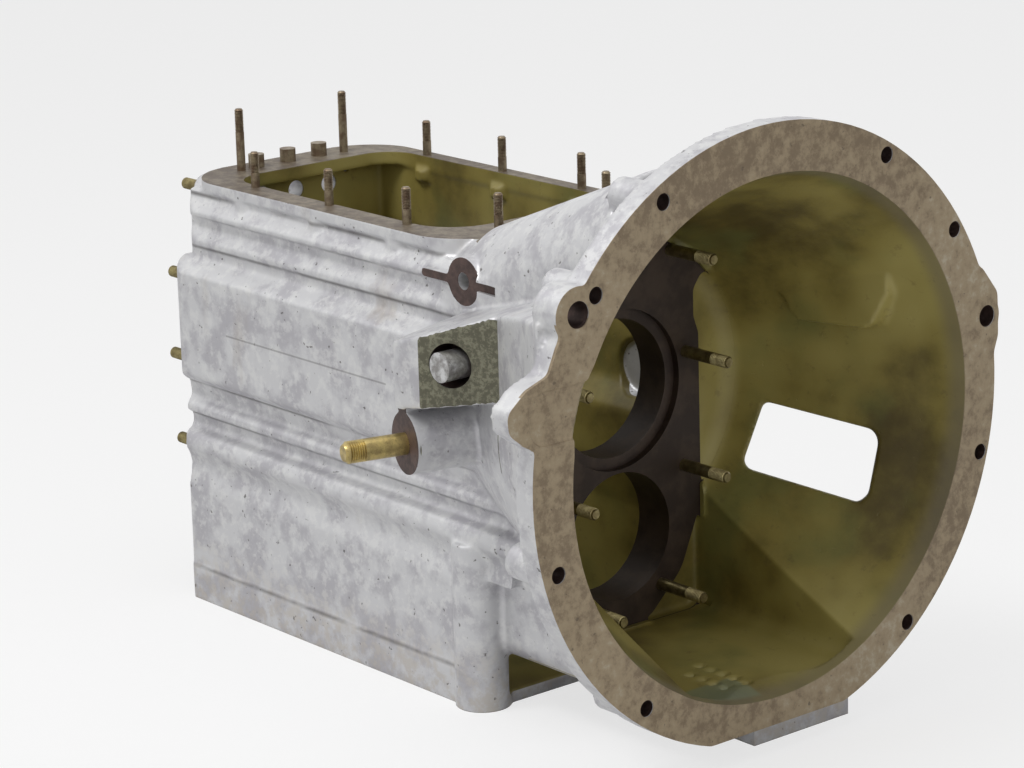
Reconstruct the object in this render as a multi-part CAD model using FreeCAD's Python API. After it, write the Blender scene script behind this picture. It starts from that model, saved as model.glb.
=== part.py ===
"""Gearbox housing: one casting with a clutch bell, a ribbed gear case and its studs.

Frame, in millimetres: +X runs along the gearbox towards the engine, +Z is up, and the origin is
the centre of the bell's bolt circle on its machined face. Each node is one exported solid, or one
group of identical fasteners.
"""
import math
import os

import FreeCAD
import Part

# ------------------------------------------------------------------ driving dimensions
# bell flange
mouthRadius = 164.0
mouthOffsetZ = -2.5
rimWidth = 26.5
flangeRadius = mouthRadius + rimWidth
flangeOffsetY = -2.5
flangeThick = 16.0
flangeFlatZ = -182.0
boltInset = 9.0
boltCircle = 2 * (flangeRadius - boltInset)
boltHole = 10.4
boltAngles = (30.0, 104.85, 142.65)
boltAngleUpperNear = 52.0
boltAngleUpperFar = 56.0
dowelHole = 16.0
dowelLeft = (-156.5, 103.0)
dowelRight = (180.5, 41.0)
dowelLug = 16.5
dowelLugBack = 6.0

# bell
bellSlope = 0.41
bellWall = 8.0
bellBackRadius = mouthRadius + bellWall - bellSlope * flangeThick
troughHalf = 70.0
troughFloorZ = -159.0
troughFrontX = -8.0
windowWall = 7.5
ventRows = ((-10.0, -64.0, -20.0), (-25.0, -56.0, -20.0))
ventPitch = 10.2
bellRearX = -152.0
plateFaceX = -146.0
bulkheadBackX = -175.0

# gear case
caseRearX = -500.0
caseHalf = 96.5
coverZ = 100.0
coverHalf = 85.0
coverRearRadius = 42.0
ribRearRadius = 30.0
panelRearRadius = 15.0
coverFrontX = -194.0
coverFrontRadius = 46.0
coverFlange = 7.0
sumpZ = -200.0
sumpHalf = 91.0
sumpFrontX = -178.0
postRadius = 18.0
wall = 7.0
rearWall = 20.0
caseInnerX = caseRearX + rearWall

# bearing bores
inputBore = 90.0
inputSeat = 104.5
seatDepth = 5.0
layshaftDrop = 96.5
layshaftBore = 84.0
rearBore = 80.0
rearLayshaftBore = 62.0
selectorBore = 13.0
selectorPitch = 28.5
selectorZ = 80.0

# top opening
openNear = -66.0
openFar = 73.0
openRearInset = 35.0
openRearX = caseRearX + openRearInset
openFrontInset = 34.0
openFrontX = coverFrontX - openFrontInset
ledgeDepth = 9.5
studBossDepth = 18.0

# studs and sleeves
m6 = 6.0
m8 = 8.0
coverStudOut = 24.0
longStudOut = 43.0
rearStudOut = 25.0
plateStudOut = 41.0
studIn = 14.0
coreRatio = 0.85
coverStudOffsetY = 4.0
coverStudHalf = 73.5
coverStudFrontHalf = 45.0
coverStudFrontX = coverFrontX - 15.0
coverStudRearX = caseRearX + 70.0
coverStudNoseX = coverFrontX - 72.0
coverStudX = (coverStudRearX, (coverStudRearX + coverStudNoseX) / 2, coverStudNoseX)
longStudInset = 18.0
longStudX = caseRearX + longStudInset
longStudHalf = 44.0
sleeveInset = 15.0
sleeveX = caseRearX + sleeveInset
sleevePitch = 26.8
sleeveOffsetY = -2.3
sleeveRadius = 5.5
sleeveOut = 9.0
rearStudPlaces = ((62.0, 88.0), (77.0, 28.0), (79.0, -30.0), (77.0, -92.0))
plateStudPlaces = ((46.0, 83.0), (58.0, 14.5), (55.5, -60.5), (34.0, -136.0))

# clutch-side bosses on the near wall
padAngle = 27.0
padCorner = (-156.0, -149.5)
padHole = 28.0
padTopZ = 60.0
pinRadius = 9.3
pivotAngle = 14.0
pivotFace = (-176.0, -147.0, -10.5)
pivotBoss = 39.0
pivotStud = 14.0
pivotStudOut = 41.0
shoulderLowZ = -31.0
selectorBoss = (-184.0, -91.0, 80.0)
selectorBossRadius = 15.0
selectorBossHole = 11.0

V = FreeCAD.Vector
XAXIS = V(1, 0, 0)
YAXIS = V(0, 1, 0)
ZAXIS = V(0, 0, 1)


# ------------------------------------------------------------------ small helpers
def roundedWire(points, place):
    """Closed wire through (a, b, radius) corners; place maps (a, b) to a 3-D vector."""
    count = len(points)
    starts, ends, mids = [], [], []
    for i in range(count):
        a, b, r = points[i]
        pa, pb, _ = points[i - 1]
        na, nb, _ = points[(i + 1) % count]
        u = (pa - a, pb - b)
        v = (na - a, nb - b)
        lu = math.hypot(*u)
        lv = math.hypot(*v)
        u = (u[0] / lu, u[1] / lu)
        v = (v[0] / lv, v[1] / lv)
        turn = math.acos(max(-1.0, min(1.0, u[0] * v[0] + u[1] * v[1])))
        if r <= 0 or abs(turn - math.pi) < 1e-3:
            starts.append((a, b))
            ends.append((a, b))
            mids.append(None)
            continue
        reach = min(r / math.tan(turn / 2), 0.49 * lu, 0.49 * lv)
        r = reach * math.tan(turn / 2)
        bis = (u[0] + v[0], u[1] + v[1])
        lb = math.hypot(*bis)
        far = r / math.sin(turn / 2) - r
        starts.append((a + u[0] * reach, b + u[1] * reach))
        ends.append((a + v[0] * reach, b + v[1] * reach))
        mids.append((a + bis[0] / lb * far, b + bis[1] / lb * far))
    edges = []
    for i in range(count):
        if mids[i] is not None:
            edges.append(Part.Arc(place(*starts[i]), place(*mids[i]), place(*ends[i])).toShape())
        j = (i + 1) % count
        p, q = place(*ends[i]), place(*starts[j])
        if p.distanceToPoint(q) > 1e-4:
            edges.append(Part.makeLine(p, q))
    return Part.Wire(edges)


def prism(points, place, sweep):
    return Part.Face(roundedWire(points, place)).extrude(sweep)


def alongX(points, x0, x1):
    """Prism of a (y, z, radius) outline from x0 to x1."""
    return prism(points, lambda y, z: V(x0, y, z), V(x1 - x0, 0, 0))


def alongZ(points, z0, z1):
    """Prism of an (x, y, radius) outline from z0 to z1."""
    return prism(points, lambda x, y: V(x, y, z0), V(0, 0, z1 - z0))


def alongY(points, y0, y1):
    """Prism of an (x, z, radius) outline from y0 to y1."""
    return prism(points, lambda x, z: V(x, y0, z), V(0, y1 - y0, 0))


def rod(radius, start, direction, length):
    return Part.makeCylinder(radius, length, start, direction)


def box(x0, x1, y0, y1, z0, z1):
    return Part.makeBox(x1 - x0, y1 - y0, z1 - z0, V(x0, y0, z0))


def turned(profile):
    """Solid of revolution about the X axis of an (x, r, radius) outline."""
    wire = roundedWire(profile, lambda x, r: V(x, 0, r))
    return Part.Face(wire).revolve(V(0, 0, 0), XAXIS, 360)


def fuse(shapes):
    body = shapes[0]
    if len(shapes) > 1:
        body = body.fuse(shapes[1:])
    return body


def stud(radius, foot, direction, inside, outside):
    """Stud with a chamfered outer end and a tapered root; foot is where it leaves the casting."""
    direction = V(direction).normalize()
    chamfer = radius * 0.25
    total = inside + outside
    core = radius * coreRatio
    profile = [
        V(0, 0, 0), V(core, 0, 0), V(radius, 0, inside), V(radius, 0, total - chamfer),
        V(radius - chamfer, 0, total), V(0, 0, total), V(0, 0, 0),
    ]
    body = Part.Face(Part.makePolygon(profile)).revolve(V(0, 0, 0), ZAXIS, 360)
    turn = FreeCAD.Rotation(ZAXIS, direction)
    body.Placement = FreeCAD.Placement(V(foot) - direction * inside, turn)
    return body


def bellOuter(x):
    """Outside radius of the bell's cone at x."""
    return bellBackRadius + bellSlope * (x + flangeThick)


def bellInner(x):
    return mouthRadius + bellSlope * x


# ------------------------------------------------------------------ casting, outside
def flange():
    disc = rod(flangeRadius, V(-flangeThick, flangeOffsetY, 0), XAXIS, flangeThick)
    lugs = [disc]
    lugs.append(rod(dowelLug, V(-flangeThick, *dowelLeft), XAXIS, flangeThick))
    lugs.append(rod(13.0, V(-flangeThick, dowelRight[0] - 2.0, dowelRight[1]), XAXIS, flangeThick))
    ear = [
        (-150, 96, 0), (-172, 88, 6), (-178, 72, 8), (-196, 66, 10), (-210, 55, 8),
        (-209, 43, 8), (-198, 34, 6), (-170, 20, 0),
    ]
    lugs.append(alongX(ear, -flangeThick, 0))
    right = [(160, 76, 0), (175, 74, 10), (190, 55, 8), (191, 27, 8), (184, 8, 10), (160, 4, 0)]
    lugs.append(alongX(right, -flangeThick, 0))
    body = fuse(lugs)
    wide = 2 * flangeRadius
    below = box(-flangeThick - 1, 1, -wide, wide, -wide, flangeFlatZ)
    return body.cut(below)


def bell():
    """Cone with a hollow neck behind the flange."""
    back = -205.0
    profile = [
        (-2, 0, 0), (-2, bellBackRadius + 6, 0), (-flangeThick + 1, bellBackRadius + 6, 0),
        (-flangeThick - 1, bellOuter(-flangeThick), 7), (back, bellOuter(back), 0), (back, 0, 0),
    ]
    return turned(profile)


def sideProfile():
    """Near half of the case section, from the cover face down to the sump face."""
    half = [
        (coverHalf, coverZ, 1.0), (coverHalf, coverZ - coverFlange, 2.0),
        (80.5, coverZ - coverFlange - 2.5, 2.0), (80.5, 87, 3.0), (88.5, 79.0, 2.0),
        (88.0, 75.5, 1.0), (81.5, 74.5, 1.5), (81.5, 66.5, 3.0), (88.0, 59.0, 2.0),
        (87.5, 55.0, 1.0), (84.0, 54.0, 1.5), (84.5, 46.0, 3.5), (caseHalf, 37.0, 2.5),
        (caseHalf, -34.5, 3.0), (88.0, -41.5, 2.0), (84.0, -43.5, 2.0), (81.5, -54.5, 3.0),
        (88.0, -59.5, 2.0), (88.0, -65.0, 1.0), (82.0, -67.0, 2.0), (81.5, -75.5, 3.0),
        (91.0, -79.5, 5.0), (94.0, -88.0, 6.0), (85.0, -100.0, 14.0), (sumpHalf - 1, -118.0, 16.0),
        (sumpHalf, -174.0, 1.0), (sumpHalf + 1.5, -176.0, 1.0), (sumpHalf + 1.5, sumpZ, 1.5),
    ]
    return half


def caseBody():
    near = sideProfile()
    outline = [(-y, z, r) for y, z, r in near] + [(y, z, r) for y, z, r in reversed(near)]
    body = alongX(outline, caseRearX, -150.0)
    wide = 120.0
    for low, high, half, radius in (
        (92.0, coverZ + 2, coverHalf, coverRearRadius),
        (45.0, 92.0, 90.0, ribRearRadius),
        (sumpZ - 1, 45.0, caseHalf, panelRearRadius),
    ):
        for side in (-1, 1):
            cx, cy = caseRearX + radius, side * (half - radius)
            corner = [(caseRearX - 5, cy, 0), (cx, cy, 0), (cx, side * 130.0, 0), (caseRearX - 5, side * 130.0, 0)]
            body = body.cut(alongZ(corner, low, high).cut(rod(radius, V(cx, cy, low - 1), ZAXIS, high - low + 2)))
    # the cover end of the case stops short of the bell
    front = [
        (coverFrontX, -wide, 0), (-140.0, -wide, 0), (-140.0, wide, 0), (coverFrontX, wide, 0),
    ]
    body = body.cut(alongZ(front, 60.0, coverZ + 2))
    for side in (-1, 1):
        r = coverFrontRadius
        cx, cy = coverFrontX - r, side * (coverHalf - r)
        corner = [(cx, cy, 0), (coverFrontX + 1, cy, 0), (coverFrontX + 1, side * 130.0, 0), (cx, side * 130.0, 0)]
        block = alongZ(corner, 88.0, coverZ + 2).cut(rod(r, V(cx, cy, 87.0), ZAXIS, 20.0))
        body = body.cut(block)
    # below the bell the sump ends at its own front wall
    body = body.cut(box(sumpFrontX, -140.0, -120.0, 120.0, sumpZ - 1, -112.0))
    return body


def posts():
    """Half-round posts at the sump's front corners."""
    out = []
    for side in (-1, 1):
        out.append(rod(postRadius, V(-190.0, side * 80.0, sumpZ), ZAXIS, 110.0))
    return out


def foot():
    """Low foot under the bell, level with the sump face."""
    return box(-46.0, -flangeThick, -8.0, 74.0, sumpZ, -140.0)


def padBlock():
    """Angled pad on the near shoulder; its top and bottom climb towards the bell."""
    a = math.radians(padAngle)
    x, y = padCorner
    tx, ty = math.cos(a), math.sin(a)
    plan = [
        (x, y, 0), (x - 25.0, y, 3), (x - 31.0, y + 6.0, 3), (x - 31.0, -80.0, 0), (x + 70.0, -80.0, 0),
        (x + 50 * tx, y + 50 * ty, 0),
    ]
    body = alongZ(plan, -10.0, 120.0)
    under = prism([(x - 60, -30, 0), (x - 60, 5.0, 0), (x + 90, 31.0, 0), (x + 90, -30, 0)],
                  lambda p, q: V(p, -200, q), V(0, 160, 0))
    return body.cut(under).cut(aboveShoulder())


def aboveShoulder():
    """Everything above the sloping top that the pad and the shoulder share."""
    x, y = padCorner
    slab = Part.makeBox(500, 500, 200, V(-200, -250, 0))
    up = V(-0.289, -0.137, 1.0).normalize()
    slab.Placement = FreeCAD.Placement(V(x - 2, y, padTopZ), FreeCAD.Rotation(ZAXIS, up))
    return slab


def shoulder():
    """Upright wall that carries the two bosses forward into the flange."""
    plan = [
        (-176.0, -80.0, 0), (-176.0, -103.0, 4), (-140.0, -112.0, 14), (-108.0, -126.5, 16),
        (-62.0, -147.0, 24), (-14.0, -176.0, 0), (-14.0, -80.0, 0),
    ]
    body = alongZ(plan, shoulderLowZ, 130.0).cut(aboveShoulder())
    low = prism([(-190, shoulderLowZ - 5, 0), (-190, shoulderLowZ, 0), (-10, shoulderLowZ + 26, 0),
                 (-10, shoulderLowZ - 5, 0)], lambda p, q: V(p, -200, q), V(0, 160, 0))
    return body.cut(low)


def pivotBossBody():
    a = math.radians(pivotAngle)
    out = V(-math.sin(a), -math.cos(a), 0)
    face = V(*pivotFace)
    return rod(pivotBoss / 2, face, out * -1, 75.0)


def selectorBossBody():
    x, y, z = selectorBoss
    parts = [rod(selectorBossRadius, V(x, y, z), YAXIS, 30.0)]
    parts.append(box(x - 41.0, x + 37.0, y, y + 20.0, z - 3.0, z + 2.0))
    return parts


def coverEdgeBosses():
    """Half-round bosses under the edge of the cover flange, one at each stud."""
    out = []
    for x in coverStudX:
        for side in (-1, 1):
            out.append(rod(13.5, V(x, side * (coverHalf - 14.5), 80.0), ZAXIS, coverZ - coverFlange - 78.0))
    return out


def rearBosses():
    out = []
    for y, z in rearStudPlaces:
        for side in (-1, 1):
            out.append(rod(10.0, V(caseRearX, side * y, z), XAXIS, 30.0))
    return out


def horn():
    """Full, rounded shoulders from the front corners of the cover up to the flange."""
    out = []
    for side in (-1, 1):
        start = V(-225.0, side * 44.0, 53.0)
        way = V(-20.0, side * 62.0, 120.0) - start
        cone = Part.makeCone(40.0, 50.0, way.Length, start, way)
        over = box(2 * coverFrontX, coverFrontX - 2, -2 * coverHalf, 2 * coverHalf, coverZ - 0.5, 2 * coverZ)
        out.append(cone.cut(over))
    return out


def boltPlaces():
    """Angles of the flange holes, from the top, positive towards the far side."""
    pairs = [side * angle for angle in boltAngles for side in (-1, 1)]
    return pairs + [-boltAngleUpperNear, boltAngleUpperFar]


def boltBosses():
    """Round bosses that back up the holes in the flange."""
    r = boltCircle / 2
    out = []
    back = 22.0
    for angle in boltPlaces():
        a = math.radians(angle)
        place = V(-flangeThick - back, (r - 1.5) * math.sin(a), (r - 1.5) * math.cos(a))
        out.append(rod(11.0, place, XAXIS, back + 6))
    out.append(rod(dowelLug, V(-flangeThick - dowelLugBack, *dowelLeft), XAXIS, 12))
    out.append(rod(13.0, V(-flangeThick - 16, dowelRight[0] - 2, dowelRight[1]), XAXIS, 20))
    return out


def trough():
    """Square channel that carries the bottom of the bell back to the sump."""
    half = troughHalf + windowWall
    outline = [(-half, -40, 0), (-half, troughFloorZ - 8, 16), (half, troughFloorZ - 8, 16), (half, -40, 0)]
    return alongX(outline, sumpFrontX - 4, -flangeThick + 2)


def railEnds():
    """The lowest side ribs run on beside the bell."""
    out = []
    for side in (-1, 1):
        outline = [
            (side * 60, -67, 0), (side * 82, -67, 2), (side * 82, -75.5, 3), (side * 91, -79.5, 5),
            (side * 94, -88, 6), (side * 86, -99, 6), (side * 60, -99, 0),
        ]
        out.append(alongX(outline, -152.0, -104.0))
    return out


# ------------------------------------------------------------------ casting, inside
def bellCavity():
    profile = [
        (5, 0, 0), (5, mouthRadius, 0), (0, mouthRadius, 0), (bellRearX, bellInner(bellRearX), 16),
        (bellRearX, 0, 0),
    ]
    body = turned(profile)
    body.translate(V(0, -1.0, mouthOffsetZ))
    outline = [
        (-troughHalf, -30, 0), (-troughHalf, troughFloorZ, 12), (troughHalf, troughFloorZ, 12), (troughHalf, -30, 0),
    ]
    body = body.fuse(alongX(outline, bellRearX, troughFrontX))
    for y, x0, x1 in ventRows:
        x = x0
        while x <= x1:
            body = body.fuse(box(x, x + 4.0, y - 4.0, y + 4.0, troughFloorZ - 3.0, troughFloorZ + 5))
            x += ventPitch
    return body.cut(innerLump())


def innerLump():
    """Rounded housing that bulges into the bell on the far side."""
    outline = [(-36, 58, 6), (-36, 100, 12), (-100, 100, 12), (-112, 58, 6), (-98, 34, 10), (-48, 34, 10)]
    body = alongY(outline, 100, 165)
    face = prism([(-120, 60, 0), (-120, 101, 0), (-20, 133, 0), (-20, 60, 0)], lambda p, q: V(p, q, 0), V(0, 0, 140))
    return body.cut(face)


def plate():
    """Machined seat on the bulkhead that the bearing plate bolts to."""
    outline = [
        (-69, 100, 10), (69, 100, 10), (88, 84, 8), (88, 67, 8), (72, 63, 6), (65.5, 54, 6),
        (65.5, 36, 6), (69.5, 25, 6), (70, -88, 30), (52, -130, 30), (22, -158, 25),
        (-22, -158, 25), (-52, -130, 30), (-70, -88, 30), (-69.5, 25, 6), (-65.5, 36, 6),
        (-65.5, 54, 6), (-72, 63, 6), (-88, 67, 8), (-88, 84, 8),
    ]
    return alongX(outline, bellRearX - 2, plateFaceX)


def caseCavity():
    near = [
        (openFar + 1.0, coverZ - ledgeDepth, 4), (74.0, 48, 8), (caseHalf - wall - 1, 32, 12),
        (caseHalf - wall - 1, -28, 12), (74.0, -44, 8), (74.0, -80, 12), (83.0, -112, 12),
        (83.0, sumpZ + 9, 14),
    ]
    outline = [(-y, z, r) for y, z, r in near] + [(y, z, r) for y, z, r in reversed(near)]
    body = alongX(outline, caseInnerX, bulkheadBackX)
    corners = [
        (caseInnerX, -84.0, 14), (bulkheadBackX, -100.0, 10), (bulkheadBackX, 100.0, 10), (caseInnerX, 84.0, 14),
    ]
    return body.common(alongZ(corners, sumpZ, coverZ))


def topOpening():
    outline = [
        (openRearX, openNear, 24), (openFrontX, openNear, 34), (openFrontX, openFar, 34), (openRearX, openFar, 24),
    ]
    return alongZ(outline, coverZ - ledgeDepth - 4, coverZ + 5)


def insideBosses():
    """Half-round stud bosses that hang from the cover flange inside the case."""
    out = []
    for x in coverStudX:
        for side in (-1, 1):
            y = coverStudOffsetY + side * coverStudHalf
            out.append(rod(9.0, V(x, y, coverZ - studBossDepth), ZAXIS, studBossDepth - 0.5))
    return out


def housing(inserts):
    outside = fuse([flange(), bell(), caseBody(), foot(), padBlock(), shoulder(), pivotBossBody(), trough()]
                   + horn() + railEnds() + boltBosses() + posts() + selectorBossBody() + rearBosses() + coverEdgeBosses())
    wide = 2 * flangeRadius
    outside = outside.cut(box(2 * caseRearX, wide, -wide, wide, 2 * sumpZ, sumpZ))
    cavity = caseCavity()
    bosses = fuse(insideBosses()).common(cavity)
    room = fuse([cavity, topOpening()])
    room = room.cut(bosses)
    body = outside.cut(room)
    mouth = bellCavity().cut(plate())
    body = body.cut(mouth)
    body = body.cut(bores())
    return body.cut(inserts)


def bores():
    tools = []
    x = plateFaceX
    through = x - bulkheadBackX + 12
    tools.append(rod(inputBore / 2, V(bulkheadBackX - 6, 0, 0), XAXIS, through))
    tools.append(rod(inputSeat / 2, V(x - seatDepth, 0, 0), XAXIS, 20))
    tools.append(rod(layshaftBore / 2, V(bulkheadBackX - 6, 0, -layshaftDrop), XAXIS, through))
    tools.append(rod(rearBore / 2, V(caseRearX - 5, 0, 0), XAXIS, 40))
    tools.append(rod(rearLayshaftBore / 2, V(caseRearX - 5, 0, -layshaftDrop), XAXIS, 40))
    for k in (-1, 0, 1):
        tools.append(rod(selectorBore / 2, V(caseRearX - 5, k * selectorPitch, selectorZ), XAXIS, 40))
    for angle in boltPlaces():
        a = math.radians(angle)
        y = boltCircle / 2 * math.sin(a)
        z = boltCircle / 2 * math.cos(a)
        tools.append(rod(boltHole / 2, V(-60, y, z), XAXIS, 70))
    tools.append(rod(dowelHole / 2, V(-flangeThick - dowelLugBack, *dowelLeft), XAXIS, 40))
    tools.append(rod(dowelHole / 2 - 1, V(-34, *dowelRight), XAXIS, 40))
    tools.append(alongX([(-140, 64, 0), (-195, 64, 12), (-195, 31, 12), (-140, 31, 0)], -1.8, 4))
    x, y, z = selectorBoss
    tools.append(rod(selectorBossHole / 2, V(x, y - 5, z), YAXIS, 40))
    a = math.radians(padAngle)
    centre = V(-137.7, -140.2, 44.3)
    tools.append(rod(padHole / 2, centre + V(math.sin(a), -math.cos(a), 0) * 12, V(-math.sin(a), math.cos(a), 0), 46))
    window = [(-118, -21.4, 7), (-13, -20.8, 8), (-24, -64.4, 8), (-33, -71.4, 6), (-133, -69.6, 8), (-137, -65.2, 4)]
    look = V(-0.68, 0.68, -0.27)
    tools.append(prism(window, lambda p, q: V(p, 100, q) - look * 30, look * 110))
    # round pocket in the far wall of the case, in line with the input bore's opening
    tools.append(rod(19.0, V(-226, 80, -17), YAXIS, 12.5))
    return tools


def main():
    os.makedirs("parts", exist_ok=True)
    nodes = {}
    cover = []
    for x in coverStudX:
        for side in (-1, 1):
            cover.append(stud(m6 / 2, V(x, coverStudOffsetY + side * coverStudHalf, coverZ), ZAXIS, studIn, coverStudOut))
    for side in (-1, 1):
        y = coverStudOffsetY + side * coverStudFrontHalf
        cover.append(stud(m6 / 2, V(coverStudFrontX, y, coverZ), ZAXIS, studIn, coverStudOut))
    nodes["cover_studs"] = Part.makeCompound(cover)
    tall = [stud(m6 / 2, V(longStudX, s * longStudHalf, coverZ), ZAXIS, studIn, longStudOut) for s in (-1, 1)]
    nodes["cover_long_studs"] = Part.makeCompound(tall)
    sleeves = []
    for k in (-1, 0, 1):
        y = sleeveOffsetY + k * sleevePitch
        sleeves.append(rod(sleeveRadius, V(sleeveX, y, coverZ - 5), ZAXIS, sleeveOut + 5))
    nodes["detent_sleeves"] = Part.makeCompound(sleeves)
    rear = [stud(m8 / 2, V(caseRearX, s * y, z), V(-1, 0, 0), studIn, rearStudOut)
            for y, z in rearStudPlaces for s in (-1, 1)]
    nodes["rear_studs"] = Part.makeCompound(rear)
    front = [stud(m8 / 2, V(plateFaceX, s * y, z), XAXIS, studIn, plateStudOut)
             for y, z in plateStudPlaces for s in (-1, 1)]
    nodes["bearing_plate_studs"] = Part.makeCompound(front)
    a = math.radians(pivotAngle)
    nodes["pivot_stud"] = stud(pivotStud / 2, V(*pivotFace), V(-math.sin(a), -math.cos(a), 0), 20, pivotStudOut)
    pin = rod(pinRadius, V(-137.0, -149.0, 45.0), YAXIS, 45)
    nodes["recessed_pin"] = pin
    inserts = [solid for shape in nodes.values() for solid in shape.Solids]
    nodes["housing"] = housing(inserts)
    for name, shape in nodes.items():
        shape.exportStep("parts/%s.step" % name)
        print(name, shape.isValid(), round(shape.Volume / 1000.0, 1), len(shape.Solids))


main()
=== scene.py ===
import math
import bpy
import bmesh
from mathutils import Matrix, Vector


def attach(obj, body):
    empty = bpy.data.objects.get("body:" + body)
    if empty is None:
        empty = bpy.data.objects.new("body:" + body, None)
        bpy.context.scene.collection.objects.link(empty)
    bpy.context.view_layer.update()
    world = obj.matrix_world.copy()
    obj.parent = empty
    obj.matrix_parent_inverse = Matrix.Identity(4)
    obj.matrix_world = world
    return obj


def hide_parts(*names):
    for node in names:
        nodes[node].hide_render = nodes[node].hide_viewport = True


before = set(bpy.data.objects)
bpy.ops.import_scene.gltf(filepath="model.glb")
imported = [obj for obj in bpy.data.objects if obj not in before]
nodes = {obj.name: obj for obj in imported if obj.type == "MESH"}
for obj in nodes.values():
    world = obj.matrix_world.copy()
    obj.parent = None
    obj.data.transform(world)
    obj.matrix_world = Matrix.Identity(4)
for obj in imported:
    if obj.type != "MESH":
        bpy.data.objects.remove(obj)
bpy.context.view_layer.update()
scene = bpy.context.scene


# shader maths: a socket that reads like a number
class Sock:
    def __init__(self, tree, out):
        self.tree = tree
        self.out = out

    def math(self, operation, *values):
        node = self.tree.node("ShaderNodeMath", dict(operation=operation), *values)
        return node.sock(0)

    def __add__(self, other):
        return self.math("ADD", self, other)

    def __radd__(self, other):
        return self.math("ADD", other, self)

    def __sub__(self, other):
        return self.math("SUBTRACT", self, other)

    def __rsub__(self, other):
        return self.math("SUBTRACT", other, self)

    def __mul__(self, other):
        return self.math("MULTIPLY", self, other)

    def __rmul__(self, other):
        return self.math("MULTIPLY", other, self)

    def __pow__(self, other):
        return self.math("POWER", self, other)

    def __abs__(self):
        return self.math("ABSOLUTE", self)

    def clamp(self):
        node = self.tree.node("ShaderNodeClamp", {}, self)
        return node.sock(0)

    def rise(self, low, high):  # 0 below low, 1 above high, smooth between
        node = self.tree.node("ShaderNodeMapRange", dict(interpolation_type="SMOOTHSTEP"), self, low, high, 0.0, 1.0)
        return node.sock(0)

    def most(self, other):
        return self.math("MAXIMUM", self, other)

    def least(self, other):
        return self.math("MINIMUM", self, other)


class Made:
    def __init__(self, tree, node):
        self.tree = tree
        self.node = node

    def sock(self, which):
        return Sock(self.tree, self.node.outputs[which])


class Nodes:
    def __init__(self, tree):
        self.nodes = tree.nodes
        self.links = tree.links

    def node(self, kind, settings, *values, **named):
        made = self.nodes.new(kind)
        for key, value in settings.items():
            setattr(made, key, value)
        pairs = [(made.inputs[i], v) for i, v in enumerate(values)]
        pairs += [(made.inputs[k.replace("_", " ")], v) for k, v in named.items()]
        for socket, value in pairs:
            self.feed(socket, value)
        return Made(self, made)

    def feed(self, socket, value):
        if isinstance(value, Sock):
            self.links.new(value.out, socket)
        elif isinstance(value, tuple) and socket.type == "RGBA":
            socket.default_value = (*value, 1.0)
        else:
            socket.default_value = value


class Finish(Nodes):
    def __init__(self, name, **fixed):
        self.material = bpy.data.materials.new(name)
        self.material.use_nodes = True
        super().__init__(self.material.node_tree)
        self.shader = self.nodes["Principled BSDF"]
        for key, value in fixed.items():
            self.shader.inputs[key.replace("_", " ")].default_value = value
        self.place = self.node("ShaderNodeTexCoord", {}).sock("Object")
        parts = self.node("ShaderNodeSeparateXYZ", {}, self.place)
        self.x, self.y, self.z = parts.sock(0), parts.sock(1), parts.sock(2)

    def noise(self, scale, detail, rough, stretch=(1, 1, 1), shift=(0, 0, 0)):
        where = self.node("ShaderNodeMapping", {}, self.place, Location=shift, Scale=stretch).sock(0)
        made = self.node("ShaderNodeTexNoise", {}, Vector=where, Scale=scale, Detail=detail, Roughness=rough)
        return made.sock(0)

    def mix(self, factor, first, second):
        made = self.nodes.new("ShaderNodeMix")
        made.data_type = "RGBA"
        for name, value in (("Factor_Float", factor), ("A_Color", first), ("B_Color", second)):
            socket = next(each for each in made.inputs if each.identifier == name)
            self.feed(socket, value)
        return Sock(self, next(each for each in made.outputs if each.identifier == "Result_Color"))

    def bump(self, height, distance, strength):
        return self.node("ShaderNodeBump", {}, Height=height, Distance=distance, Strength=strength).sock(0)

    def wear(self, **sockets):
        for key, value in sockets.items():
            self.links.new(value.out, self.shader.inputs[key.replace("_", " ")])
        return self.material


# camera
view = dict(place=(1.41647, -1.37245, 0.57346), azimuth=50.529, elevation=15.269, roll=-1.595, lens=120.62)


def makeCamera():
    a, e = math.radians(view["azimuth"]), math.radians(view["elevation"])
    look = Vector((-math.sin(a) * math.cos(e), math.cos(a) * math.cos(e), -math.sin(e)))
    data = bpy.data.cameras.new("camera")
    data.lens = view["lens"]
    data.sensor_width = 36.0
    data.clip_start = 0.05
    data.clip_end = 30.0
    camera = bpy.data.objects.new("camera", data)
    scene.collection.objects.link(camera)
    camera.location = view["place"]
    turn = look.to_track_quat("-Z", "Y").to_matrix() @ Matrix.Rotation(math.radians(view["roll"]), 3, "Z")
    camera.rotation_euler = turn.to_euler()
    scene.camera = camera


makeCamera()
print("camera set")

# the casting's own sizes, in metres
casting = dict(
    voxel=0.0016, softenRounds=3, softenFactor=0.5, stock=0.005, triangles=185000,
    rearX=-0.5, coverZ=0.1, coverFrontX=-0.1935, sumpZ=-0.2, plateX=-0.146,
)
bores = [  # centre, direction, radius, how far back and forward of the centre
    dict(at=(-0.1675, 0, 0), way="X", r=0.045, back=0.03, ahead=0.0165),
    dict(at=(-0.1675, 0, -0.0965), way="X", r=0.042, back=0.03, ahead=0.045),
    dict(at=(-0.49, 0, 0), way="X", r=0.040, back=0.04, ahead=0.03),
    dict(at=(-0.49, 0, -0.0965), way="X", r=0.031, back=0.04, ahead=0.03),
    dict(at=(-0.008, -0.1565, 0.103), way="X", r=0.008, back=0.0138, ahead=0.03),
    dict(at=(-0.016, 0.1805, 0.041), way="X", r=0.007, back=0.03, ahead=0.04),
    dict(at=(-0.184, -0.083, 0.08), way="Y", r=0.0055, back=0.03, ahead=0.02),
]
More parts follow.
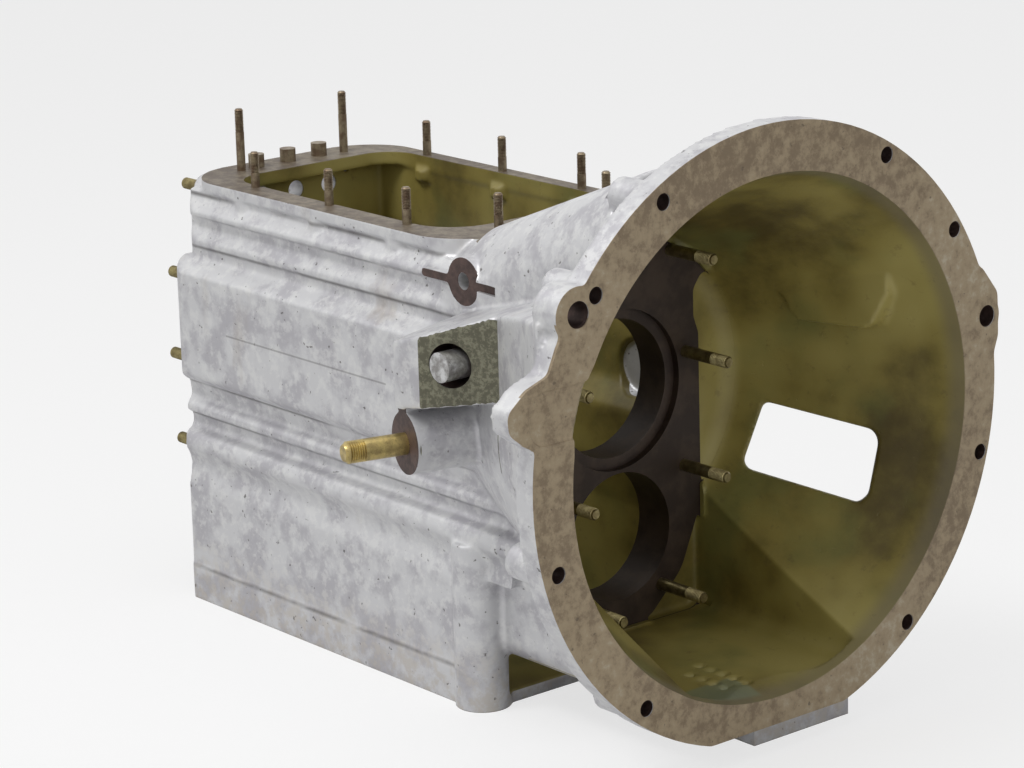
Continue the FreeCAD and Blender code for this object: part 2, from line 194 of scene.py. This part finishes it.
for rail in (-0.0285, 0.0, 0.0285):
    bores.append(dict(at=(-0.49, rail, 0.08), way="X", r=0.0065, back=0.04, ahead=0.03))
for angle in (30.0, 104.85, 142.65, -30.0, -104.85, -142.65, -52.0, 56.0):
    a = math.radians(angle)
    bores.append(dict(at=(-0.02, 0.1815 * math.sin(a), 0.1815 * math.cos(a)), way="X", r=0.0052, back=0.03, ahead=0.04))
padFace = dict(corner=(-0.156, -0.1495), angle=27.0, hole=(-0.1377, -0.1402, 0.0443), r=0.014, depth=0.034)
pivot = dict(face=(-0.176, -0.147, -0.0105), angle=14.0, r=0.0195)
bossA = dict(at=(-0.184, -0.091, 0.08), r=0.015)
inputSeat = dict(r=0.05225, fromX=-0.151)


# finishes
def reach(f, a, b):  # length of a flat vector
    return (a * a + b * b) ** 0.5


def inBox(f, low, high, soft=0.0004):
    mask = None
    for value, l, h in zip((f.x, f.y, f.z), low, high):
        side = (value - l).least(h - value)
        mask = side if mask is None else mask.least(side)
    return mask.rise(0.0, soft)


def onPlane(distance, slack=0.0004):
    return (slack - abs(distance)).rise(0.0, slack * 0.4)


def blend(mask, first, second):
    return first + (second - first) * mask


regions = dict(
    bellRadius=0.1685, bellSlope=0.41, bellBack=-0.153, bellY=-0.001, bellZ=-0.0025,
    troughHalf=0.0735, troughZ=-0.163, caseRear=-0.4815, caseFront=-0.1745, caseLow=-0.193,
    plateX=-0.146, coverZ=0.1, coverFront=-0.192, rearX=-0.5, sumpZ=-0.2, layZ=-0.0965,
    inputR=0.0526, layR=0.0424,
)


def insideMask(f):
    r = regions
    ring = reach(f, f.y - r["bellY"], f.z - r["bellZ"])
    back = (f.x - r["bellBack"]).rise(0.0, 0.0004)
    bell = (f.x * r["bellSlope"] + r["bellRadius"] - ring).rise(-0.0004, 0.0004) * back
    trough = inBox(f, (r["bellBack"], -r["troughHalf"], r["troughZ"]), (0.0, r["troughHalf"], 0.0))
    half = 0.0866 - f.z.rise(-0.112, -0.085) * 0.0088 + f.z.rise(-0.042, -0.03) * 0.0142
    half = half - f.z.rise(0.034, 0.046) * 0.0142
    case = inBox(f, (r["caseRear"], -1.0, r["caseLow"]), (r["caseFront"], 1.0, r["coverZ"] + 0.001))
    corner = (0.043 - reach(f, (f.x + 0.24).most(0.0), (abs(f.y) - 0.039).most(0.0))).rise(0.0, 0.001)
    case = case * (half - abs(f.y)).rise(0.0, 0.0005) * corner.most((0.055 - f.z).rise(0.0, 0.002))
    return bell.most(trough).most(case), bell.most(trough)


castLook = dict(
    ribFeet=(0.0895, 0.0742, 0.054, -0.0432, -0.0668, -0.1752),
    # shadeAndGrime is near-black: the real pits and parting line, and also painted shade under the side ribs
    light=(0.62, 0.62, 0.63), dull=(0.42, 0.41, 0.44), bright=(0.74, 0.74, 0.73), stain=(0.30, 0.22, 0.13), shadeAndGrime=(0.05, 0.04, 0.032),
    # oliveShaded and oliveLit are the varnish's shaded and lit tones: painted shade and painted light
    oliveShaded=(0.085, 0.062, 0.014), olive=(0.28, 0.225, 0.055), oliveLit=(0.47, 0.405, 0.14),
    green=(0.16, 0.18, 0.055), worn=(0.10, 0.065, 0.03), flange=(0.36, 0.285, 0.185), flangeDark=(0.22, 0.165, 0.105),
    flangePale=(0.45, 0.39, 0.29), cover=(0.22, 0.185, 0.135), coverDark=(0.10, 0.075, 0.055),
    plate=(0.028, 0.017, 0.012), plateWarm=(0.052, 0.034, 0.024), boss=(0.105, 0.065, 0.055),
    bossDark=(0.05, 0.03, 0.026), pad=(0.22, 0.215, 0.15), padDark=(0.115, 0.11, 0.075), vent=(0.21, 0.25, 0.165),
)


def castFinish():
    look, r = castLook, regions
    f = Finish("castAluminium", Metallic=0.0, Roughness=0.4)
    broad = f.noise(8.0, 3.0, 0.5)
    blotch = f.noise(40.0, 5.0, 0.62, shift=(0.3, 0.1, 0.7))
    spots = f.noise(110.0, 5.0, 0.7, shift=(0.7, 0.2, 0.4))
    fine = f.noise(620.0, 3.0, 0.6)
    pits = f.noise(230.0, 2.0, 0.5, shift=(0.2, 0.5, 0.1)).rise(0.69, 0.75)
    drips = f.noise(30.0, 4.0, 0.6, stretch=(1.0, 1.0, 0.25), shift=(0.5, 0.9, 0.2)).rise(0.56, 0.72)
    inside, bell = insideMask(f)

    skinColour = f.mix(blotch.rise(0.42, 0.62) * 0.75, look["light"], look["dull"])
    skinColour = f.mix(spots.rise(0.48, 0.62) * 0.5, skinColour, look["bright"])
    skinColour = f.mix(drips * broad.rise(0.45, 0.65) * 0.35, skinColour, look["stain"])
    low = (-0.145 - f.z).rise(0.0, 0.05) * spots.rise(0.42, 0.62)
    skinColour = f.mix(low * 0.35, skinColour, look["stain"])
    line = (0.0009 - abs(f.z - 0.001)).rise(0.0, 0.0006) * inBox(f, (-0.435, -0.11, -0.01), (-0.259, -0.09, 0.01))
    skinColour = f.mix(line * 0.4, skinColour, look["shadeAndGrime"])
    # painted shade: dark bands along the foot of each side rib, where the rib's underside faces down, broken up by
    # noise
    ribFootShade = None
    for z in look["ribFeet"]:
        band = (0.0024 - abs(f.z - z)).rise(0.0, 0.0024)
        ribFootShade = band if ribFootShade is None else ribFootShade.most(band)
    shadeBreakup = f.noise(45.0, 4.0, 0.6, stretch=(0.3, 1.0, 1.0)).rise(0.34, 0.56)
    ribFootShade = ribFootShade * shadeBreakup * (abs(f.y) - 0.078).rise(0.0, 0.001) * (-0.17 - f.x).rise(0.0, 0.03)
    skinColour = f.mix(ribFootShade * 0.62, skinColour, look["shadeAndGrime"])
    skinColour = f.mix(pits * 0.7, skinColour, look["shadeAndGrime"])

    # painted shade and painted light: the varnish mottles at random between its shaded tone, its plain tone and its lit
    # tone
    lacquer = f.mix((broad * 0.75 + blotch * 0.25).rise(0.34, 0.56), look["oliveShaded"], look["olive"])
    lacquer = f.mix(broad.rise(0.45, 0.68) * 0.6, lacquer, look["oliveLit"])
    lacquer = f.mix(f.noise(15.0, 3.0, 0.5, shift=(0.9, 0.4, 0.2)).rise(0.52, 0.7) * 0.5, lacquer, look["green"])
    lacquer = f.mix(spots.rise(0.58, 0.7) * 0.3, lacquer, look["worn"])
    mouth = (f.x + 0.016).rise(0.0, 0.012) * bell
    lacquer = f.mix(mouth * 0.6, lacquer, (0.20, 0.17, 0.11))
    vent = inBox(f, (-0.036, -0.074, -0.17), (-0.004, -0.01, -0.154), 0.004)
    lacquer = f.mix(vent * 0.65, lacquer, look["vent"])
    colour = f.mix(inside, skinColour, lacquer)

    engine = (f.x + 0.0005).rise(0.0, 0.0003)
    notch = inBox(f, (-0.0024, -0.2, 0.03), (0.001, -0.14, 0.1))
    engine = engine.most(notch)
    holes = inBox(f, (-0.0155, -0.3, -0.3), (-0.0007, 0.3, 0.3))
    holes = holes * (1.0 - notch) * (0.0058 - abs(reach(f, f.y, f.z) - 0.1815)).rise(0.0, 0.0004)
    near = (0.0084 - reach(f, f.y + 0.1565, f.z - 0.103)).rise(0.0, 0.0003)
    far = (0.0074 - reach(f, f.y - 0.1805, f.z - 0.041)).rise(0.0, 0.0003)
    holes = holes.most(near.most(far) * (-0.0006 - f.x).rise(0.0, 0.0003))
    rim = ((-0.4996 - f.x).rise(0.0, 0.0003)).most((-0.1996 - f.z).rise(0.0, 0.0003))
    top = (f.z - 0.0996).rise(0.0, 0.0003) * inBox(f, (-0.52, -0.1, 0.09), (r["coverFront"], 0.1, 0.11))
    rim = rim.most(top)
    ring = reach(f, f.y, f.z)
    lowRing = reach(f, f.y, f.z - r["layZ"])
    bores = inBox(f, (-0.1757, -0.1, -0.17), (-0.1435, 0.1, 0.1))
    bores = bores * (r["inputR"] - ring).rise(0.0, 0.0003).most((r["layR"] - lowRing).rise(0.0, 0.0003))
    seatBox = inBox(f, (-0.16, -0.0693, -0.16), (-0.13, 0.0693, 0.0))
    seatDisc = (0.103 - reach(f, f.y + 0.001, f.z + 0.0025)).rise(0.0, 0.0004)
    plate = (onPlane(f.x - r["plateX"], 0.0006) * seatBox.most(seatDisc)).most(bores)
    bar = inBox(f, (-0.227, -0.1, 0.0762), (-0.1485, -0.08, 0.0828))
    disc = (0.0157 - reach(f, f.x - bossA["at"][0], f.z - bossA["at"][2])).rise(0.0, 0.0004)
    wings = onPlane(f.y - bossA["at"][1], 0.0006) * bar.most(disc)
    a = math.radians(pivot["angle"])
    px, py, pz = pivot["face"]
    along = (f.x - px) * math.sin(a) + (f.y - py) * math.cos(a)
    pivotFace = onPlane(along, 0.0006) * inBox(f, (px - 0.03, py - 0.03, pz - 0.023), (px + 0.03, py + 0.03, pz + 0.023))
    a = math.radians(padFace["angle"])
    out = (f.x - padFace["hole"][0]) * math.sin(a) - (f.y - padFace["hole"][1]) * math.cos(a)
    side = (f.x - padFace["hole"][0]) * math.cos(a) + (f.y - padFace["hole"][1]) * math.sin(a)
    padBox = inBox(f, (-0.157, -0.16, -0.02), (-0.10, -0.11, 0.075))
    pad = onPlane(out, 0.0007) * padBox
    padHole = (padFace["r"] + 0.0004 - reach(f, side, f.z - padFace["hole"][2])).rise(0.0, 0.0003)
    padHole = padHole * inBox(f, (-0.2, -0.17, 0.02), (-0.08, -0.08, 0.07)) * (0.0 - out - 0.0006).rise(0.0, 0.0004)

    mottle = broad * 0.35 + spots * 0.65
    tan = f.mix(mottle.rise(0.38, 0.55), look["flangeDark"], look["flange"])
    tan = f.mix(mottle.rise(0.54, 0.68), tan, look["flangePale"])
    tan = f.mix(pits * 0.6, tan, look["coverDark"])
    grey = f.mix(mottle.rise(0.4, 0.62), look["coverDark"], look["cover"])
    dark = f.mix(blotch.rise(0.4, 0.62), look["plate"], look["plateWarm"])
    brown = f.mix(mottle.rise(0.4, 0.6), look["bossDark"], look["boss"])
    speckle = f.mix(f.noise(300.0, 4.0, 0.7).rise(0.44, 0.6), look["padDark"], look["pad"])
    colour = f.mix(engine, colour, tan)
    colour = f.mix(rim, colour, grey)
    colour = f.mix(plate, colour, dark)
    colour = f.mix(wings.most(pivotFace).most(padHole).most(holes), colour, brown)
    colour = f.mix(pad, colour, speckle)
    machinedMask = engine.most(rim).most(plate).most(wings).most(pivotFace).most(pad).most(padHole)
    bare = (1.0 - inside) * (1.0 - machinedMask)
    metal = bare * 0.6 + machinedMask * 0.3
    rough = 0.36 + blotch * 0.16 + fine * 0.08 + machinedMask * 0.08 + inside * (0.02 - blotch * 0.1)
    height = broad * (1.0 - machinedMask) + blotch * (0.28 - machinedMask * 0.2) + fine * 0.05 - pits * 0.12
    return f.wear(Base_Color=colour, Metallic=metal, Roughness=rough, Normal=f.bump(height, 0.0016, 0.5))


def plated(name, light, dark, rough):
    f = Finish(name, Metallic=0.9, Roughness=rough)
    blotch = f.noise(160.0, 4.0, 0.6)
    fine = f.noise(900.0, 3.0, 0.6)
    colour = f.mix(blotch.rise(0.35, 0.65), light, dark)
    colour = f.mix(fine.rise(0.55, 0.7) * 0.4, colour, (0.09, 0.06, 0.03))
    return f.wear(Base_Color=colour, Roughness=rough - 0.1 + blotch * 0.25, Normal=f.bump(fine, 0.0003, 0.4))


# the casting
castAluminium = castFinish()
studBrown = plated("studBrown", (0.30, 0.25, 0.17), (0.17, 0.12, 0.08), 0.42)
studOlive = plated("studOlive", (0.34, 0.29, 0.14), (0.20, 0.16, 0.075), 0.38)
studGold = plated("studGold", (0.55, 0.43, 0.17), (0.34, 0.26, 0.11), 0.3)
pinBright = plated("pinBright", (0.66, 0.66, 0.66), (0.30, 0.29, 0.28), 0.3)
print("finishes made")


def newPiece(name, bm, *materials):
    mesh = bpy.data.meshes.new(name)
    bm.to_mesh(mesh)
    bm.free()
    piece = bpy.data.objects.new(name, mesh)
    scene.collection.objects.link(piece)
    for material in materials:
        mesh.materials.append(material)
    return piece


def applyModifiers(piece):
    graph = bpy.context.evaluated_depsgraph_get()
    mesh = bpy.data.meshes.new_from_object(piece.evaluated_get(graph))
    piece.modifiers.clear()
    piece.data = mesh


def block(bm, low, high):
    size = [h - l for l, h in zip(low, high)]
    centre = [(h + l) / 2 for l, h in zip(low, high)]
    place = Matrix.Translation(centre) @ Matrix.Diagonal((*size, 1.0))
    bmesh.ops.create_cube(bm, size=1.0, matrix=place)


def cylinder(bm, start, direction, length, r, sides=96):
    direction = Vector(direction).normalized()
    turn = direction.to_track_quat("Z", "Y").to_matrix().to_4x4()
    place = Matrix.Translation(Vector(start) + direction * length / 2) @ turn
    bmesh.ops.create_cone(bm, cap_ends=True, segments=sides, radius1=r, radius2=r, depth=length, matrix=place)


def boreAxis(bore):
    return Vector((1, 0, 0)) if bore["way"] == "X" else Vector((0, -1, 0))


def addStock(bm):
    c = casting
    grow = c["stock"]
    aim = Vector((math.sin(math.radians(padFace["angle"])), -math.cos(math.radians(padFace["angle"])), 0))
    out = Vector((-math.sin(math.radians(pivot["angle"])), -math.cos(math.radians(pivot["angle"])), 0))
    for vert in bm.verts:
        p = vert.co.copy()
        for bore in bores:  # round holes start undersize
            axis = boreAxis(bore)
            away = p - Vector(bore["at"])
            along = away.dot(axis)
            across = away - axis * along
            if abs(across.length - bore["r"]) < 4e-5 and -bore["back"] - 0.001 < along < bore["ahead"] + 0.001:
                vert.co -= across.normalized() * min(0.0018, bore["r"] * 0.35)
        ring = math.hypot(p.y, p.z)
        if abs(ring - inputSeat["r"]) < 4e-5 and -0.152 < p.x < -0.145:
            vert.co -= Vector((0, p.y, p.z)).normalized() * 0.0018
        away = p - Vector(padFace["hole"])
        across = away - aim * away.dot(aim)
        if abs(across.length - padFace["r"]) < 4e-5:
            vert.co -= across.normalized() * 0.0018
        if abs(p.x) < 1e-5:  # machined faces start proud
            vert.co.x += grow
        if abs(p.x - c["rearX"]) < 1e-5:
            vert.co.x -= grow
        if abs(p.z - c["coverZ"]) < 1e-5 and p.x < c["coverFrontX"]:
            vert.co.z += grow
        if abs(p.z - c["sumpZ"]) < 1e-5:
            vert.co.z -= grow
        if abs(p.x - c["plateX"]) < 1e-5 and ring < 0.17:
            vert.co.x += 0.003
        if abs(p.y - bossA["at"][1]) < 1e-5 and -0.23 < p.x < -0.14 and p.z > 0.05:
            vert.co.y -= 0.003
        away = p - Vector(pivot["face"])
        if abs(away.dot(out)) < 1e-5 and away.length < 0.021:
            vert.co += out * 0.004


def machineCuts():
    c = casting
    first = bmesh.new()
    block(first, (0, -0.3, -0.3), (0.02, 0.3, 0.3))
    block(first, (-0.52, -0.2, -0.1999), (c["rearX"], 0.2, 0.16))
    block(first, (-0.52, -0.2, -0.23), (-0.001, 0.2, c["sumpZ"]))
    second = bmesh.new()
    block(second, (-0.52, -0.12, c["coverZ"]), (c["coverFrontX"], 0.12, 0.13))
    for bore in bores:
        axis = boreAxis(bore)
        start = Vector(bore["at"]) - axis * bore["back"]
        cylinder(second, start, axis, bore["back"] + bore["ahead"], bore["r"], 32 if bore["r"] < 0.02 else 96)
    third = bmesh.new()
    cylinder(third, (inputSeat["fromX"], 0, 0), (1, 0, 0), 0.02, inputSeat["r"])
    cylinder(third, (bossA["at"][0], bossA["at"][1], bossA["at"][2]), (0, -1, 0), 0.02, bossA["r"] + 0.001, 64)
    a = math.radians(pivot["angle"])
    cylinder(third, pivot["face"], (-math.sin(a), -math.cos(a), 0), 0.01, pivot["r"] + 0.003, 64)
    a = math.radians(padFace["angle"])
    aim = Vector((math.sin(a), -math.cos(a), 0))
    cylinder(third, Vector(padFace["hole"]) - aim * padFace["depth"], aim, padFace["depth"] + 0.012, padFace["r"], 64)
    fourth = bmesh.new()
    cylinder(fourth, (c["plateX"], -0.001, -0.0025), (1, 0, 0), 0.012, 0.1015)
    block(fourth, (-0.226, -0.098, 0.0765), (-0.149, bossA["at"][1], 0.0825))
    fifth = bmesh.new()
    block(fifth, (c["plateX"], -0.0688, -0.1575), (-0.134, 0.0688, -0.01))
    return [newPiece("cutter%d" % i, cut) for i, cut in enumerate((first, second, third, fourth, fifth))]


def castHousing():
    c = casting
    bm = bmesh.new()
    bm.from_mesh(nodes["housing"].data)
    bmesh.ops.remove_doubles(bm, verts=bm.verts, dist=1e-6)
    addStock(bm)
    piece = newPiece("casting", bm)
    remesh = piece.modifiers.new("sand", "REMESH")
    remesh.mode = "VOXEL"
    remesh.voxel_size = c["voxel"]
    remesh.adaptivity = 0.0
    soften = piece.modifiers.new("soften", "SMOOTH")
    soften.factor = c["softenFactor"]
    soften.iterations = c["softenRounds"]
    applyModifiers(piece)
    print("casting softened", len(piece.data.polygons))
    cutters = machineCuts()
    for cutter in cutters:
        cut = piece.modifiers.new("cut", "BOOLEAN")
        cut.operation = "DIFFERENCE"
        cut.solver = "MANIFOLD"
        cut.object = cutter
    applyModifiers(piece)
    for cutter in cutters:
        bpy.data.objects.remove(cutter)
    print("machined", len(piece.data.polygons))
    bm = bmesh.new()
    bm.from_mesh(piece.data)
    bmesh.ops.triangulate(bm, faces=bm.faces)
    count = len(bm.faces)
    bm.to_mesh(piece.data)
    bm.free()
    thin = piece.modifiers.new("thin", "DECIMATE")
    thin.ratio = min(1.0, c["triangles"] / count)
    applyModifiers(piece)
    print("thinned", count, len(piece.data.polygons))
    mesh = piece.data
    mesh.materials.clear()
    mesh.materials.append(castAluminium)
    for face in mesh.polygons:
        face.material_index = 0
    mesh.shade_smooth()
    mesh.set_sharp_from_angle(angle=math.radians(38))
    return piece


body = castHousing()
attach(body, "root")
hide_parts("housing")


# studs, sleeves and pin
def solidsOf(node):
    bm = bmesh.new()
    bm.from_mesh(nodes[node].data)
    bmesh.ops.remove_doubles(bm, verts=bm.verts, dist=1e-6)
    todo = set(bm.verts)
    groups = []
    while todo:
        start = todo.pop()
        group, edge = [start], [start]
        while edge:
            here = edge.pop()
            for link in here.link_edges:
                other = link.other_vert(here)
                if other in todo:
                    todo.remove(other)
                    group.append(other)
                    edge.append(other)
        groups.append([v.co.copy() for v in group])
    bm.free()
    return groups


def lathe(bm, profile, sides):
    made = []
    last = None
    for r, z in profile:
        vert = bm.verts.new((r, 0, z))
        if last is not None:
            made.append(bm.edges.new((last, vert)))
        last = vert
    geometry = made + [v for e in made for v in e.verts]
    bmesh.ops.spin(bm, geom=list(dict.fromkeys(geometry)), cent=(0, 0, 0), axis=(0, 0, 1),
                   angle=2 * math.pi, steps=sides, use_merge=True)


def threadedProfile(r, low, high, threadFrom, pitch, nose):
    root = r - pitch * 0.5
    profile = [(0.0, low), (r, low), (r, threadFrom)]
    z = threadFrom
    top = high - nose
    while z + pitch <= top:
        profile += [(root, z + pitch * 0.35), (r, z + pitch * 0.75), (r, z + pitch)]
        z += pitch
    profile += [(root, z + pitch * 0.3), (r * 0.72, high), (0.0, high)]
    return profile


def studPiece(name, node, direction, footAt, spec, material):
    direction = Vector(direction).normalized()
    whole = bmesh.new()
    for points in solidsOf(node):
        centre = sum(points, Vector()) / len(points)
        reach = max(p.dot(direction) for p in points)
        foot = centre - direction * (centre.dot(direction) - footAt)
        bm = bmesh.new()
        high = reach - footAt
        profile = threadedProfile(spec["r"], -0.002, high, high - spec["thread"], spec["pitch"], spec["nose"])
        lathe(bm, profile, spec["sides"])
        bmesh.ops.remove_doubles(bm, verts=bm.verts, dist=1e-6)
        bmesh.ops.recalc_face_normals(bm, faces=bm.faces)
        turn = direction.to_track_quat("Z", "Y").to_matrix().to_4x4()
        bmesh.ops.transform(bm, matrix=Matrix.Translation(foot) @ turn, verts=bm.verts)
        mesh = bpy.data.meshes.new("one")
        bm.to_mesh(mesh)
        bm.free()
        whole.from_mesh(mesh)
        bpy.data.meshes.remove(mesh)
    piece = newPiece(name, whole, material)
    piece.data.shade_smooth()
    piece.data.set_sharp_from_angle(angle=math.radians(35))
    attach(piece, "root")
    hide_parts(node)
    print(name, len(piece.data.polygons))
    return piece


m6 = dict(r=0.003, thread=0.014, pitch=0.001, nose=0.0008, sides=16)
m6Tall = dict(r=0.003, thread=0.016, pitch=0.001, nose=0.0008, sides=16)
m8 = dict(r=0.004, thread=0.014, pitch=0.00125, nose=0.001, sides=18)
m14 = dict(r=0.007, thread=0.013, pitch=0.0015, nose=0.0015, sides=36)
a = math.radians(pivot["angle"])
pivotWay = Vector((-math.sin(a), -math.cos(a), 0))
studPiece("coverStuds", "cover_studs", (0, 0, 1), 0.1, m6, studBrown)
studPiece("coverTallStuds", "cover_long_studs", (0, 0, 1), 0.1, m6Tall, studBrown)
studPiece("rearStuds", "rear_studs", (-1, 0, 0), 0.5, m8, studOlive)
studPiece("plateStuds", "bearing_plate_studs", (1, 0, 0), -0.146, m8, studOlive)
studPiece("clutchPivot", "pivot_stud", pivotWay, Vector(pivot["face"]).dot(pivotWay), m14, studGold)
for node, material in (("detent_sleeves", studBrown), ("recessed_pin", pinBright)):
    mesh = nodes[node].data
    mesh.materials.clear()
    mesh.materials.append(material)
print("studs made")

# floor, lights, world
studio = dict(floorZ=-0.2, floorHalf=7.0, paper=0.7, paperColour=(0.9, 0.9, 0.9, 1), world=0.42)
lamps = (
    dict(name="key", place=(-0.5, -1.15, 1.9), target=(-0.2, 0, 0), size=(0.9, 0.7), power=20.0),
    dict(name="fill", place=(1.9, -0.4, 1.0), target=(-0.15, 0, 0), size=(1.2, 1.2), power=3.0),
    dict(name="top", place=(0.0, 0.2, 1.9), target=(-0.25, 0, 0), size=(1.6, 1.0), power=4.0),
)


def softLamp(name, place, target, size, power):
    data = bpy.data.lights.new(name, "AREA")
    data.shape = "RECTANGLE"
    data.size, data.size_y = size
    data.energy = power
    lamp = bpy.data.objects.new(name, data)
    scene.collection.objects.link(lamp)
    lamp.location = place
    lamp.rotation_euler = (Vector(target) - Vector(place)).to_track_quat("-Z", "Y").to_euler()


def makeStudio():
    bm = bmesh.new()
    bmesh.ops.create_grid(bm, x_segments=1, y_segments=1, size=studio["floorHalf"],
                          matrix=Matrix.Translation((-0.2, 0, studio["floorZ"])))
    f = Finish("paper", Roughness=0.9)
    f.shader.inputs["Base Color"].default_value = studio["paperColour"]
    glow = f.node("ShaderNodeEmission", {})
    seen = f.node("ShaderNodeLightPath", {}).sock("Is Camera Ray") * studio["paper"]
    shown = f.node("ShaderNodeMixShader", {}, seen)
    f.links.new(f.shader.outputs[0], shown.node.inputs[1])
    f.links.new(glow.node.outputs[0], shown.node.inputs[2])
    f.links.new(shown.node.outputs[0], f.nodes["Material Output"].inputs["Surface"])
    floor = newPiece("floor", bm, f.material)
    for lamp in lamps:
        softLamp(**lamp)
    world = bpy.data.worlds.new("studio")
    scene.world = world
    world.use_nodes = True
    tree = Nodes(world.node_tree)
    back = tree.nodes["Background"]
    back.inputs["Color"].default_value = (1, 1, 1, 1)
    rays = tree.node("ShaderNodeLightPath", {})
    shown = rays.sock("Is Camera Ray").most(rays.sock("Is Glossy Ray")).most(rays.sock("Is Transmission Ray"))
    strength = shown * (1.0 - studio["world"]) + studio["world"]  # white where seen, plain where it lights
    tree.links.new(strength.out, back.inputs["Strength"])


makeStudio()
scene.view_settings.view_transform = "Standard"
print("done")
